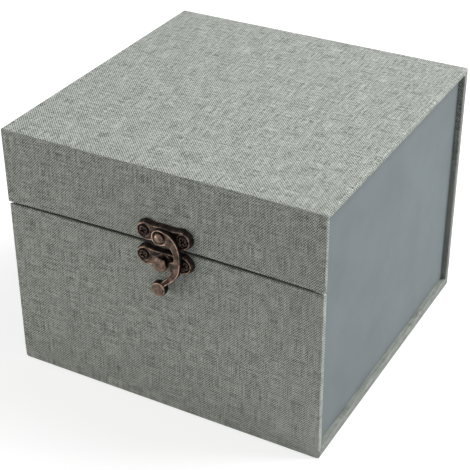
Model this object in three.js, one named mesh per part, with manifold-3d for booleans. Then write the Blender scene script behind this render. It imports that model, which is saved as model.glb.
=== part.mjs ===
// Storage box for a doll's head: boards wrapped in one cloth, like a book's case, round a paper-covered tray.
// Millimetres, +Z up, the front towards -Y. The origin is the middle of the underside.
import * as THREE from "three";
import { RoundedBoxGeometry } from "three/addons/geometries/RoundedBoxGeometry.js";
import { mergeVertices } from "three/addons/utils/BufferGeometryUtils.js";
import Module from "manifold-3d";

const wasm = await Module();
wasm.setup();

// The wrap
const boxWidth = 160;
const boxDepth = 159.3;
const boxHeight = 125.3;
const lidThickness = 2.8;
const flapThickness = 2.9;
const frontThickness = 3.8;
const backThickness = 3.8;
const bottomThickness = 4.5;
const flapHeight = 36.6; // from the top of the box to the flap's lower edge
const flapSplit = 0.7; // open line between the flap and the lower front panel
const frontSetInLeft = 0.7; // the lower front panel is this much narrower than the flap
const frontSetInRight = 0.4;
const foldGap = 0.3; // open line between the lid and what stands under it
const clothThickness = 0.45;
const edgeRadius = 0.9;
const turnIn = 6; // cloth that shows round a board's inner face
const glueLine = 0.1; // between faces that are glued together
const liningGap = 0.4; // round a lining sheet, inside the turned-in cloth

// The tray
const sideOverhang = 2.7; // the wrap stands this far outside the tray's side walls
const trayBoard = 2;
const paperThickness = 0.3;
const paperTurnIn = 16; // paper folded over the rim onto the walls' inner faces
const rimGap = 0.4; // between the tray's rim and the closed lid

// The padding
const foamGap = 0.5; // round the foam in the tray
const floorPadHeight = 18;
const wellRadius = 52;
const wellLip = 5; // rounding of the well's mouth
const foamEdge = 2;
const lidPadHeight = 12;
const nestUnderPad = 3.6; // between the nest and the closed lid's pad
const lidPadGap = 4; // between the lid's pad and the tray's lining, so that it swings out freely

// The clasp, seen from the front: across, up, and out of the box
const claspAcross = 4.6; // the hook's rivet, right of the middle
const studAcross = 0.4; // the stud, right of the rivet
const rivetAboveEdge = 6.7; // above the flap's lower edge
const studBelowEdge = 5.3; // below the lower panel's upper edge
const plateThickness = 1.8;
const plateWaist = 7; // height of a plate beside its lobes
const waistDip = 1.1; // drawn in from there towards the middle
const lobeRadius = 4;
const lobeRim = 1; // width of the raised rim round a screw
const rimRise = 0.5;
const bossRadius = 4.3;
const bossOverScrews = 0.1; // so that the hook passes over the screw heads
const hookScrewSpacing = 19.7;
const studScrewSpacing = 20.2;
const seatGap = 0.2; // between the clasp's faces and the cloth
const screwHeadRadius = 2.35;
const screwHeadRise = 0.8;
const screwShankRadius = 0.8;
const screwReach = 1.9; // from the cloth's face into the board
const screwHoleGap = 0.3;
const crossSlotWidth = 0.7;
const crossSlotLength = 2.9;
const crossSlotDepth = 0.6;
const rivetRadius = 1.3;
const rivetHeadRadius = 2.5;
const rivetHeadRise = 1.1;
const boreGap = 0.15;
const studPostRadius = 2.4;
const studHeadRadius = 3.9;
const studHeadRise = 2;
const studTailRadius = 1.3;
const studTurn = 0.75; // how far the head is turned, as a share of the angle between its corners
const hookThickness = 2.1;
const hookBevel = 0.5;
const hookEyeRadius = 4;
const hookPlay = 0.3; // under the hook, and between it and what is over it
const toothGap = 0.4; // between the hook's tooth and the stud's post
const toothWidth = 6.2;
const knobRadius = 3.35;
const knobAcross = -1.9; // the hook's knob from the stud
const knobDown = -13.35;
const knobRise = 0.5; // the knob's face over the rest of the hook

// Places worked out from the sizes
const halfWidth = boxWidth / 2;
const frontFace = -boxDepth / 2;
const backFace = boxDepth / 2;
const lidUnderside = boxHeight - lidThickness;
const wallTop = lidUnderside - foldGap;
const flapEdge = boxHeight - flapHeight;
const panelTop = flapEdge - flapSplit;
const panelFoot = bottomThickness + glueLine;
const foldSetBack = clothThickness + glueLine; // a fold's cloth stands outside the edge of the lid or bottom
const studDown = -(rivetAboveEdge + flapSplit + studBelowEdge); // the stud from the rivet
const plateFace = seatGap + plateThickness;
const bossRise = glueLine + screwHeadRise + bossOverScrews;
const hookBack = plateFace + bossRise + hookPlay;
const hookFace = hookBack + hookThickness;

const materials = {
  linen: { color: 0x92968f, roughness: 0.95, metalness: 0 },
  board: { color: 0x8f867a, roughness: 0.9, metalness: 0 },
  paper: { color: 0x87918f, roughness: 0.75, metalness: 0 },
  foam: { color: 0xd9d6cf, roughness: 1, metalness: 0 },
  copper: { color: 0x5e4436, roughness: 0.45, metalness: 0.8 },
};

const box = new THREE.Group();
box.name = "doll_head_storage_box";

function addPart(name, geometry, material, group = box) {
  const mesh = new THREE.Mesh(geometry, new THREE.MeshStandardMaterial(materials[material]));
  mesh.name = name;
  group.add(mesh);
}

function solidOf(geometry) {
  const bare = geometry.clone();
  bare.deleteAttribute("normal");
  bare.deleteAttribute("uv");
  const merged = mergeVertices(bare);
  const vertProperties = merged.attributes.position.array;
  const triVerts = new Uint32Array(merged.index.array);
  return new wasm.Manifold(new wasm.Mesh({ numProp: 3, vertProperties, triVerts }));
}

function geometryOf(solid) {
  const { vertProperties, triVerts } = solid.getMesh();
  const geometry = new THREE.BufferGeometry();
  geometry.setAttribute("position", new THREE.BufferAttribute(new Float32Array(vertProperties), 3));
  geometry.setIndex(new THREE.BufferAttribute(new Uint32Array(triVerts), 1));
  geometry.computeVertexNormals();
  return geometry;
}

function joined(geometries) {
  return geometryOf(geometries.map(solidOf).reduce((sum, solid) => sum.add(solid)));
}

function cutBy(geometry, tools) {
  return geometryOf(tools.map(solidOf).reduce((rest, tool) => rest.subtract(tool), solidOf(geometry)));
}

// A box between its low and high corners, with rounded edges if a radius is given.
function boxBetween(low, high, radius = 0) {
  const size = high.map((value, i) => value - low[i]);
  const middle = high.map((value, i) => (value + low[i]) / 2);
  const geometry = radius ? new RoundedBoxGeometry(...size, 2, radius) : new THREE.BoxGeometry(...size);
  return geometry.translate(...middle);
}

// The corners of a box, moved in by a different distance along each axis.
function inset(low, high, by) {
  return [low.map((value, i) => value + by[i]), high.map((value, i) => value - by[i])];
}

// A board wrapped in cloth. Its outer face looks along one axis, to the positive or negative side, and its
// inner face has a window in the turned-in cloth, where a lining sheet fits. Holes are cut through the board
// and the cloth's outer face.
function coveredBoard(low, high, axis, side, holes = []) {
  const along = (inPlane, through) => [0, 1, 2].map((i) => (i === axis ? through : inPlane));
  const skin = clothThickness;
  const boardBox = inset(low, high, along(skin + glueLine, skin + glueLine));
  const pocket = inset(low, high, along(skin, skin));
  const window = inset(low, high, along(turnIn, 0));
  const lining = inset(low, high, along(turnIn + liningGap, 0));
  const innerEnd = side > 0 ? 1 : 0;
  const insideLayer = side > 0 ? low[axis] + skin : high[axis] - skin;
  window[innerEnd][axis] = insideLayer;
  lining[innerEnd][axis] = insideLayer;
  window[1 - innerEnd][axis] -= side * skin;
  const board = boxBetween(...boardBox);
  const shell = boxBetween(low, high, edgeRadius);
  return {
    board: holes.length ? cutBy(board, holes) : board,
    cloth: cutBy(shell, [boxBetween(...pocket), boxBetween(...window), ...holes]),
    lining: boxBetween(...lining),
  };
}

// A wall that goes round the tray: between two distances in from the tray's outer faces, from low to high.
function sleeve(outer, inner, lowZ, highZ) {
  return cutBy(trayBox(outer, lowZ, highZ), [trayBox(inner, lowZ - trayBoard, highZ + trayBoard)]);
}

const tray = {
  low: [-halfWidth + sideOverhang, frontFace + frontThickness + glueLine],
  high: [halfWidth - sideOverhang, backFace - backThickness - glueLine],
  foot: bottomThickness + glueLine,
  rim: lidUnderside - rimGap,
};

function trayBox(inBy, lowZ, highZ, radius = 0) {
  const low = [...tray.low.map((value) => value + inBy), lowZ];
  const high = [...tray.high.map((value) => value - inBy), highZ];
  return boxBetween(low, high, radius);
}

// Clasp pieces are drawn face on: x across, y up, z out of the box.
function disc(radius, lowZ, highZ, segments = 24) {
  const cylinder = new THREE.CylinderGeometry(radius, radius, highZ - lowZ, segments);
  return cylinder.rotateX(Math.PI / 2).translate(0, 0, (lowZ + highZ) / 2);
}

function turned(profile, segments = 24) {
  const points = profile.map(([radius, height]) => new THREE.Vector2(radius, height));
  return new THREE.LatheGeometry(points, segments).rotateX(Math.PI / 2);
}

// Points of a quarter round from the side of a turned piece to its top.
function quarterRound(radius, top, round, steps = 3) {
  return Array.from({ length: steps + 1 }, (_, i) => {
    const angle = (i / steps) * (Math.PI / 2);
    return [radius - round + round * Math.cos(angle), top - round + round * Math.sin(angle)];
  });
}

// A dome from its edge to its crown.
function dome(radius, edgeHeight, rise, steps = 4) {
  return Array.from({ length: steps + 1 }, (_, i) => {
    const angle = (i / steps) * (Math.PI / 2);
    return [radius * Math.cos(angle), edgeHeight + rise * Math.sin(angle)];
  });
}

// Where the clasp's screws go, from the middle of a plate.
const screwPlaces = (spacing) => [-spacing / 2, spacing / 2];

// A plate with a round lobe at each end, each with a raised rim round its screw, and a boss in the middle.
function claspPlate(spacing, bossHeight, boreRadius) {
  const rimTop = plateFace + rimRise;
  const dishRadius = lobeRadius - lobeRim;
  const lobe = turned([
    [0, seatGap],
    [lobeRadius, seatGap],
    ...quarterRound(lobeRadius, rimTop, lobeRim / 2),
    [dishRadius, plateFace],
    [0, plateFace],
  ]);
  const lobes = screwPlaces(spacing).map((x) => lobe.clone().translate(x, 0, 0));
  const bridge = new THREE.Shape();
  bridge.moveTo(-spacing / 2, -plateWaist / 2);
  bridge.quadraticCurveTo(0, -plateWaist / 2 + 2 * waistDip, spacing / 2, -plateWaist / 2);
  bridge.lineTo(spacing / 2, plateWaist / 2);
  bridge.quadraticCurveTo(0, plateWaist / 2 - 2 * waistDip, -spacing / 2, plateWaist / 2);
  const bar = new THREE.ExtrudeGeometry(bridge, { depth: plateThickness, bevelEnabled: false, curveSegments: 8 });
  const dishes = screwPlaces(spacing).map((x) => {
    return disc(dishRadius, plateFace, rimTop + plateThickness).translate(x, 0, 0);
  });
  const boss = turned([
    [0, seatGap],
    [bossRadius, seatGap],
    ...quarterRound(bossRadius, plateFace + bossHeight, lobeRim / 2),
    [0, plateFace + bossHeight],
  ]);
  const holes = screwPlaces(spacing).map((x) => {
    return disc(screwShankRadius + screwHoleGap, 0, rimTop).translate(x, 0, 0);
  });
  const bore = disc(boreRadius, 0, hookBack + plateThickness);
  const plate = cutBy(joined([...lobes, bar.translate(0, 0, seatGap)]), dishes);
  return cutBy(joined([plate, boss]), [...holes, bore]);
}

function screw() {
  const headFoot = plateFace + glueLine;
  const head = turned([
    [0, -screwReach],
    [screwShankRadius, -screwReach],
    [screwShankRadius, headFoot],
    [screwHeadRadius, headFoot],
    ...dome(screwHeadRadius, headFoot + screwHeadRise / 3, (screwHeadRise * 2) / 3),
  ]);
  const top = headFoot + screwHeadRise;
  const half = [crossSlotLength / 2, crossSlotWidth / 2];
  const slots = [half, [...half].reverse()].map(([x, y]) => {
    return boxBetween([-x, -y, top - crossSlotDepth], [x, y, top + crossSlotDepth]);
  });
  return cutBy(head, slots);
}

function rivet() {
  const headFoot = hookFace + hookPlay;
  return turned([
    [0, seatGap],
    [rivetRadius, seatGap],
    [rivetRadius, headFoot],
    [rivetHeadRadius, headFoot],
    ...dome(rivetHeadRadius, headFoot + rivetHeadRise / 4, (rivetHeadRise * 3) / 4),
  ]);
}

// A post with a six-sided, bevelled head that stands over the hook.
function stud() {
  const bossTop = plateFace + glueLine;
  const headFoot = hookFace + hookPlay;
  const bevel = studHeadRise / 3;
  const outline = new THREE.Shape();
  for (let corner = 0; corner < 6; corner++) {
    const angle = ((corner + studTurn) * Math.PI) / 3;
    const radius = studHeadRadius - bevel;
    outline[corner ? "lineTo" : "moveTo"](radius * Math.cos(angle), radius * Math.sin(angle));
  }
  const head = new THREE.ExtrudeGeometry(outline, {
    depth: studHeadRise - 2 * bevel,
    bevelSize: bevel,
    bevelThickness: bevel,
    bevelSegments: 3,
  });
  const post = turned([
    [0, seatGap],
    [studTailRadius, seatGap],
    [studTailRadius, bossTop],
    [studPostRadius, bossTop],
    [studPostRadius, headFoot + bevel],
    [0, headFoot + bevel],
  ]);
  return joined([post, head.translate(0, 0, headFoot + bevel)]);
}

// The hook's arm as stations along its middle line: across, up and width, from the rivet or from the stud.
function hookStations() {
  const toothMiddle = studPostRadius + toothGap + toothWidth / 2;
  const fromRivet = [
    [0, 0.2, 7.6],
    [2.7, 0.25, 7.3],
    [6.1, -1.9, 5],
    [7.9, -5.4, 3.7],
  ];
  const fromStud = [
    [7.9, 4.2, 3.5],
    [7.3, 1.6, 4.2],
    [toothMiddle, -1.2, toothWidth],
    [5.2, -3.6, 5],
    [4.1, -6.2, 4.1],
    [2.4, -8.7, 3.7],
    [0.8, -10.6, 3.4],
    [knobAcross, knobDown, 3.2],
  ];
  return [...fromRivet, ...fromStud.map(([x, y, width]) => [x + studAcross, y + studDown, width])];
}

function hook() {
  const stations = hookStations().map((station) => new THREE.Vector3(...station));
  const samples = new THREE.CatmullRomCurve3(stations).getPoints(3 * (stations.length - 1));
  const edge = (side) => samples.map((here, i) => {
    const before = samples[Math.max(i - 1, 0)];
    const after = samples[Math.min(i + 1, samples.length - 1)];
    const along = new THREE.Vector2(after.x - before.x, after.y - before.y).normalize();
    const reach = side * (here.z / 2 - hookBevel);
    return new THREE.Vector2(here.x - along.y * reach, here.y + along.x * reach);
  });
  const arm = new THREE.ExtrudeGeometry(new THREE.Shape([...edge(-1), ...edge(1).reverse()]), {
    depth: hookThickness - 2 * hookBevel,
    bevelSize: hookBevel,
    bevelThickness: hookBevel,
    bevelSegments: 2,
  });
  const rounded = (radius, round, face) => turned([
    [0, hookBack],
    ...quarterRound(radius, -hookBack, round).map(([r, height]) => [r, -height]).reverse(),
    ...quarterRound(radius, face, round),
    [0, face],
  ]);
  const eye = rounded(hookEyeRadius, hookBevel, hookFace);
  const knob = rounded(knobRadius, hookThickness / 2, hookFace + knobRise);
  knob.translate(studAcross + knobAcross, studDown + knobDown, 0);
  const blank = joined([arm.translate(0, 0, hookBack + hookBevel), eye, knob]);
  return cutBy(blank, [disc(rivetRadius + boreGap, 0, hookFace + hookThickness)]);
}

// A group that stands on the front face at a height, so that what is drawn face on looks out of the box.
function claspGroup(x, z) {
  const group = new THREE.Group();
  group.position.set(x, frontFace, z);
  group.rotation.x = Math.PI / 2;
  box.add(group);
  return group;
}

// Holes for a plate's screws, through the cloth's outer face and the board behind it.
function screwHoles(x, z, spacing, thickness) {
  const depth = thickness - clothThickness - glueLine / 2;
  return screwPlaces(spacing).map((across) => {
    const hole = disc(screwShankRadius + screwHoleGap, -depth, clothThickness);
    return hole.rotateX(Math.PI / 2).translate(x + across, frontFace, z);
  });
}

// The cloth over a fold of the wrap, a strip outside the edge of the lid or the bottom. It is square where it
// meets the panel's cloth and rounded where it turns over onto the lid or under the bottom.
function foldCloth(face, inward, squareZ, roundZ, left, right) {
  const profile = new THREE.Shape();
  const inner = face + inward * clothThickness;
  profile.moveTo(face, squareZ);
  profile.lineTo(face, roundZ - Math.sign(roundZ - squareZ) * clothThickness);
  profile.quadraticCurveTo(face, roundZ, inner, roundZ);
  profile.lineTo(inner, squareZ);
  const strip = new THREE.ExtrudeGeometry(profile, {
    depth: right - left - 2 * edgeRadius,
    bevelEnabled: false,
    curveSegments: 4,
  });
  const acrossBox = new THREE.Matrix4().makeBasis(
    new THREE.Vector3(0, 1, 0),
    new THREE.Vector3(0, 0, 1),
    new THREE.Vector3(1, 0, 0),
  );
  return strip.applyMatrix4(acrossBox).translate(left + edgeRadius, 0, 0);
}

function buildWrap() {
  const hookPlace = [claspAcross, flapEdge + rivetAboveEdge];
  const studPlace = [claspAcross + studAcross, panelTop - studBelowEdge];
  const frontLeft = -halfWidth + frontSetInLeft;
  const frontRight = halfWidth - frontSetInRight;
  const bottom = coveredBoard(
    [-halfWidth, frontFace + foldSetBack, 0],
    [halfWidth, backFace - foldSetBack, bottomThickness],
    2,
    -1,
  );
  const back = coveredBoard(
    [-halfWidth, backFace - backThickness, panelFoot],
    [halfWidth, backFace, wallTop],
    1,
    1,
  );
  const front = coveredBoard(
    [frontLeft, frontFace, panelFoot],
    [frontRight, frontFace + frontThickness, panelTop],
    1,
    -1,
    screwHoles(...studPlace, studScrewSpacing, frontThickness),
  );
  const lid = coveredBoard(
    [-halfWidth, frontFace + foldSetBack, lidUnderside],
    [halfWidth, backFace - foldSetBack, boxHeight],
    2,
    1,
  );
  const flap = coveredBoard(
    [-halfWidth, frontFace, flapEdge],
    [halfWidth, frontFace + flapThickness, wallTop],
    1,
    -1,
    screwHoles(...hookPlace, hookScrewSpacing, flapThickness),
  );
  for (const [name, panel] of Object.entries({ bottom, back, front, lid, flap })) {
    addPart(`${name}_board`, panel.board, "board");
    addPart(`${name}_cloth`, panel.cloth, "linen");
  }
  addPart("lid_lining", lid.lining, "paper");
  addPart("flap_lining", flap.lining, "paper");
  const foldTop = wallTop + glueLine;
  const foldFoot = panelFoot - glueLine;
  for (const [name, ...fold] of [
    ["lid_hinge_cloth", backFace, -1, foldTop, boxHeight, -halfWidth, halfWidth],
    ["flap_hinge_cloth", frontFace, 1, foldTop, boxHeight, -halfWidth, halfWidth],
    ["back_foot_cloth", backFace, -1, foldFoot, 0, -halfWidth, halfWidth],
    ["front_foot_cloth", frontFace, 1, foldFoot, 0, frontLeft, frontRight],
  ]) {
    addPart(name, foldCloth(...fold), "linen");
  }
}

function buildTray() {
  const boardOut = paperThickness + glueLine;
  const boardIn = boardOut + trayBoard;
  const liningOut = boardIn + glueLine;
  const boardTop = tray.rim - paperThickness - glueLine;
  const paperEdge = tray.rim - paperTurnIn;
  const [left, front] = tray.low;
  const [right, back] = tray.high;
  for (const [name, x0, x1] of [
    ["left", left + boardOut, left + boardIn],
    ["right", right - boardIn, right - boardOut],
  ]) {
    const wall = boxBetween([x0, front + boardOut, tray.foot], [x1, back - boardOut, boardTop]);
    addPart(`tray_${name}_wall`, wall, "board");
  }
  const innerLeft = left + boardIn + glueLine;
  const innerRight = right - boardIn - glueLine;
  for (const [name, y0, y1] of [
    ["front", front + boardOut, front + boardIn],
    ["back", back - boardIn, back - boardOut],
  ]) {
    const wall = boxBetween([innerLeft, y0, tray.foot], [innerRight, y1, boardTop]);
    addPart(`tray_${name}_wall`, wall, "board");
  }
  const floorTop = tray.foot + trayBoard;
  addPart("tray_floor", trayBox(liningOut, tray.foot, floorTop), "board");
  const outside = sleeve(0, paperThickness, tray.foot, tray.rim);
  const cap = sleeve(0, liningOut + paperThickness, tray.rim - paperThickness, tray.rim);
  const inside = sleeve(liningOut, liningOut + paperThickness, paperEdge, tray.rim);
  addPart("tray_paper", joined([outside, cap, inside]), "paper");
  const lining = sleeve(liningOut, liningOut + paperThickness, floorTop + glueLine, paperEdge - glueLine);
  addPart("tray_lining", lining, "paper");
}

function buildPadding() {
  const liningFace = paperThickness + glueLine + trayBoard + glueLine + paperThickness;
  const foamIn = liningFace + foamGap;
  const padFoot = tray.foot + trayBoard + glueLine;
  const padTop = padFoot + floorPadHeight;
  const nestFoot = padTop + glueLine;
  const padUnderLid = lidUnderside - glueLine;
  const nestTop = padUnderLid - lidPadHeight - nestUnderPad;
  addPart("foam_floor_pad", trayBox(foamIn, padFoot, padTop, foamEdge), "foam");
  const lip = quarterRound(0, 0, wellLip).map(([x, y]) => [wellRadius - x, nestTop + y]);
  const well = turned(
    [[0, nestFoot - wellLip], [wellRadius, nestFoot - wellLip], ...lip, [wellRadius + wellLip, nestTop + wellLip],
      [0, nestTop + wellLip]],
    48,
  );
  const middleY = (tray.low[1] + tray.high[1]) / 2;
  const block = trayBox(foamIn, nestFoot, nestTop, foamEdge);
  addPart("foam_nest", cutBy(block, [well.translate(0, middleY, 0)]), "foam");
  const lidPad = trayBox(liningFace + lidPadGap, padUnderLid - lidPadHeight, padUnderLid, 2 * foamEdge);
  addPart("lid_pad", lidPad, "foam");
}

function buildClasp() {
  const onFlap = claspGroup(claspAcross, flapEdge + rivetAboveEdge);
  addPart("hook_plate", claspPlate(hookScrewSpacing, bossRise, rivetRadius + boreGap), "copper", onFlap);
  addPart("hook", hook(), "copper", onFlap);
  addPart("hook_rivet", rivet(), "copper", onFlap);
  const onPanel = claspGroup(claspAcross + studAcross, panelTop - studBelowEdge);
  addPart("stud_plate", claspPlate(studScrewSpacing, 0, studTailRadius + boreGap), "copper", onPanel);
  addPart("stud", stud(), "copper", onPanel);
  for (const [plate, spacing, group] of [
    ["hook_plate", hookScrewSpacing, onFlap],
    ["stud_plate", studScrewSpacing, onPanel],
  ]) {
    screwPlaces(spacing).forEach((x, i) => {
      addPart(`${plate}_screw_${["left", "right"][i]}`, screw().translate(x, 0, 0), "copper", group);
    });
  }
}

buildWrap();
buildTray();
buildPadding();
buildClasp();

export default box;
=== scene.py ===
"""The looks of a doll head storage box: cloth-covered boards round a paper-covered tray, with a swing-hook clasp.

Metres, +Z up, the front towards -Y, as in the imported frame. Places come from the frame's boxes.
"""

import math

import bmesh
import bpy
import numpy as np
from mathutils import Matrix, Vector


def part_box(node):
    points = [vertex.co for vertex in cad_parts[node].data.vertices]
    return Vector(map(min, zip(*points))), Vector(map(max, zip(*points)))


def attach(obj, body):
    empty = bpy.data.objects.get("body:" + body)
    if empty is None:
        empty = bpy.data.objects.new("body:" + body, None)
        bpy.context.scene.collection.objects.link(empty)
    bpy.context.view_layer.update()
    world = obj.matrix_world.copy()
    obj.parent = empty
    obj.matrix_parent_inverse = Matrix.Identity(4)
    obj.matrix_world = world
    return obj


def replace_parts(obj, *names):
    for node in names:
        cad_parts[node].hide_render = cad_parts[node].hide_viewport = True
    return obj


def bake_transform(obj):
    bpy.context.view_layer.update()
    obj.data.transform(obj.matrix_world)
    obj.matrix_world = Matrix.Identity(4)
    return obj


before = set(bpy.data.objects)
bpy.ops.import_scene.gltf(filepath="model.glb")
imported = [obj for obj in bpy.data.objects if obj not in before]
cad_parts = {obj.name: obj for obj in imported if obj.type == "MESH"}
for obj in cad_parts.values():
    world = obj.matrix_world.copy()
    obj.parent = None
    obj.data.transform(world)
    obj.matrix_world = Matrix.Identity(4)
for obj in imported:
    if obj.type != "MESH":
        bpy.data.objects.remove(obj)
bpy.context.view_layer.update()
MM = 0.001
TINY = 1e-6  # as good as nought

# Cloth and paper
EDGE_ROUND = 0.8 * MM  # how far the cloth rounds a board's edge
SPLIT_ROUND = 0.45 * MM  # at the two edges that meet at the split in the front
SPLIT_OPEN = (0.06 * MM, 0.38 * MM)  # how far each of them stands back, at the box's sides and in its middle
SPLIT_BEVEL = 1.2 * MM
CLOTH_THICK = 0.45 * MM
TURN_IN = 6 * MM  # cloth that shows round a board's inner face
ROUND_STEPS = 5  # mesh steps in each half of a rounded edge
GRID = 6 * MM  # mesh step on flat cloth
FOLD_ROWS = 3  # rows of faces on a fold's flat part
SHARP = 40  # degrees between two faces, from which their edge is left sharp
THREAD_PITCH = (0.635 * MM, 0.66 * MM)  # across the wrap and along it
DARK_THREAD = 0.04  # tones of the two ways' threads, from 0 for the darkest to 1 for the lightest
LIGHT_THREAD = 1.02
WANDER = ((35.0, 0.5 * MM), (300.0, 0.07 * MM))  # how many times in a metre the threads stray, and how far
WEAVE_SOFT = 0.7  # how softly one thread's tone gives way to the next one's, up to 1
STREAKS = ((0.06, 0.72), (0.3, 0.6))  # how soon a thread's tone changes along it, and how much
STREAK_WIDTH = 1.2  # how soon it changes from thread to thread
FLECKS_PER_THREAD = 0.9
FLECKS = 0.2  # how much the tone changes from fleck to fleck
GAP_HEIGHT = 0.2  # how far up a thread's crown, of 1, the painted shade in the gap beside it shows
GAP_TONE = 0.8  # how much of the thread's own tone is left in the gap's painted shade
PAINTED_LIGHT_FOOT = 1.17  # painted light: how many times lighter the cloth is drawn at the lower panel's foot
PAINTED_LIGHT_REACH = 105 * MM  # painted light: how far up from there it is drawn lighter
PAINTED_SHADE_SIDES = 0.2  # painted shade: how much darker the cloth is drawn on the side edges of the back and the bottom
PAINTED_SHADE_LEDGE = 0.37  # painted shade: how much darker it is drawn where it turns in there
EDGE_BOW = 0.9 * MM  # how much lower the split is at the box's sides than in its middle
BOW_RAISED = 0.3 * MM  # how far it is raised in its middle
PANEL_LEAN = 0.6 * MM  # the lower panel is this much wider at its foot, on the left

# Cast metal
CAST_STEP, SCREW_STEP, RIVET_STEP = 0.16, 0.12, 0.14  # mm between the corners of a mesh
CONVEXITY_SPREAD = 2  # rounds in which each corner's measure of how much of an edge it is gets evened out
RELIEF_SPREAD = 30  # rounds of evening out that a corner's height is taken from

# Pads
PAD_MESH = 5 * MM
PAD_SHRINK = 2.5 * MM  # drawn in by this before the filling swells them
PAD_FRAMES = 20
PAD_CAP = 4 * MM  # the furthest that a point moves as they swell
PAD_PROUD = 1.5 * MM  # how far a free face may crown beyond its solid
NEST_SEAM = 61 * MM  # radius of the seam round the well
SEAM_FLOOR, SEAM_WIDTH = 0.3 * MM, 1.4 * MM  # how far beside its line the seam is deepest, and how far it reaches
SEAM_STITCHES = 110
PAD_QUALITY = 5
PAD_PRESSURE = 4

# Colours, from 0 to 255 on the screen
# the cloth's third colour is painted shade for the gaps between the threads
CLOTH_DARK, CLOTH_LIGHT, CLOTH_GAP_SHADE = (68, 71, 65), (226, 231, 222), (60, 63, 58)
PAPER_TONE = (125, 134, 136)
BOARD_DARK, BOARD_LIGHT = (118, 110, 98), (160, 151, 137)
# the pile's third colour is painted shade in the seam's groove
PILE_DARK, PILE_LIGHT, PILE_SEAM_SHADE = (196, 192, 183), (228, 225, 217), (138, 133, 124)
# The metal's rubbed colour is partly painted light, its edge colour partly painted highlight, and its hollow colour
# partly painted shade.
METAL_DARK, METAL_RUBBED_LIT, METAL_EDGE_WORN_LIT, METAL_HOLLOW_PATINA_SHADE = (31, 26, 25), (164, 136, 118), (206, 174, 152), (22, 17, 15)

# How many times in a metre each material's noise changes, about
PAPER_FIBRE, PAPER_CLOUD = 2600.0, 45.0
BOARD_FLECK = 1800.0
PILE_FINE, PILE_NAP = 2200.0, 60.0
METAL_CLOUD, METAL_GRAIN = 420.0, 1700.0
FLOOR_CLOUD = 3.0

# How deep each material's bumps are
CLOTH_BUMP, PAPER_BUMP, BOARD_BUMP, PILE_BUMP, METAL_BUMP = (depth * MM for depth in (0.03, 0.03, 0.06, 1.0, 0.04))

# How rough each material is, over the range of its noise where there are two numbers
CLOTH_ROUGH, BOARD_ROUGH, PILE_ROUGH, PAPER_ROUGH, METAL_ROUGH = 0.95, 0.95, 0.95, (0.62, 0.74), (0.5, 0.3)

# The stage
FLOOR_HALF = 3.0
FLOOR_DROP = 0.05 * MM  # how far the floor lies under the box
FLOOR_DARK, FLOOR_LIGHT = (0.53, 0.53, 0.53), (0.55, 0.55, 0.55)
FLOOR_GLOW = 0.74  # seen only by the camera and in reflections
WORLD_LIGHT = 0.27
LAMPS = (  # name, place, power, size and colour
    ("key", (0.9, 0.7, 1.3), 27.6, 0.9, (0.99, 1.0, 1.015)),
    ("fill", (-0.6, -0.52, 0.02), 2.25, 0.4, (1.0, 0.975, 0.92)),
)

# The photograph's camera
AZIMUTH = 29.07  # degrees right of straight ahead
ELEVATION = 31.62
ROLL = -0.417
DISTANCE = 0.6206
MOVED_RIGHT = -4.83 * MM
MOVED_UP = -10.64 * MM
FOCAL_SHARE = 2.7008  # focal length over the frame's width
SENSOR_WIDTH = 36
CLIP_START = 0.01

# Where things are
LID_LOW, LID_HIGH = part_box("lid_cloth")
FLAP_LOW, FLAP_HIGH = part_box("flap_cloth")
FRONT_LOW, FRONT_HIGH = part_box("front_cloth")
BACK_LOW, BACK_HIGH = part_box("back_cloth")
BOTTOM_LOW, BOTTOM_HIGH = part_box("bottom_cloth")
LEFT, RIGHT = LID_LOW.x, LID_HIGH.x
FRONT, BACK = FLAP_LOW.y, BACK_HIGH.y
TOP = LID_HIGH.z
DEPTH = BACK - FRONT

# The wrap's cloth runs up the flap, over the lid, down the back, under the bottom and up the front. Its run at a
# place on each board, counted from the fold over the flap.
FOOT_RUN = 2 * DEPTH + TOP  # at the lower panel's foot
CLOTH_RUN = {
    "flap": lambda z: z - TOP,
    "lid": lambda y: y - FRONT,
    "back": lambda z: DEPTH + TOP - z,
    "bottom": lambda y: FOOT_RUN - (y - FRONT),
    "front": lambda z: FOOT_RUN + z,
}


# Meshes

def mesh_piece(name, vertices, faces, material, uvs=None):
    """A new smooth object of these vertices and faces. uvs holds one pair for each corner of each face."""
    mesh = bpy.data.meshes.new(name)
    mesh.from_pydata([tuple(v) for v in vertices], [], faces)
    if uvs is not None:
        layer = mesh.uv_layers.new(name="cloth")
        layer.data.foreach_set("uv", np.array(uvs, np.float32).ravel())
    mesh.materials.append(material)
    mesh.polygons.foreach_set("use_smooth", [True] * len(mesh.polygons))
    mesh.update()
    obj = bpy.data.objects.new(name, mesh)
    bpy.context.scene.collection.objects.link(obj)
    return obj


def tidy(obj, sharp=None):
    """Joins the corners that meet and turns the faces outwards. Edges from sharp on, in degrees, are marked sharp."""
    work = bmesh.new()
    work.from_mesh(obj.data)
    bmesh.ops.remove_doubles(work, verts=work.verts, dist=TINY)
    bmesh.ops.recalc_face_normals(work, faces=work.faces)
    if sharp is not None:
        for edge in work.edges:
            edge.smooth = len(edge.link_faces) == 2 and edge.calc_face_angle(0) < math.radians(sharp)
    work.to_mesh(obj.data)
    work.free()
    return obj


def with_modifier(obj, kind, **settings):
    """Adds a modifier and applies it."""
    modifier = obj.modifiers.new(kind.lower(), kind)
    for key, value in settings.items():
        setattr(modifier, key, value)
    graph = bpy.context.evaluated_depsgraph_get()
    made = bpy.data.meshes.new_from_object(obj.evaluated_get(graph), depsgraph=graph)
    obj.modifiers.clear()
    old = obj.data
    obj.data = made
    made.name = old.name
    return obj


def ease(obj, move):
    """Moves each corner of a piece by what move gives for its place."""
    for vertex in obj.data.vertices:
        vertex.co += move(vertex.co)
    return obj


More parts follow.
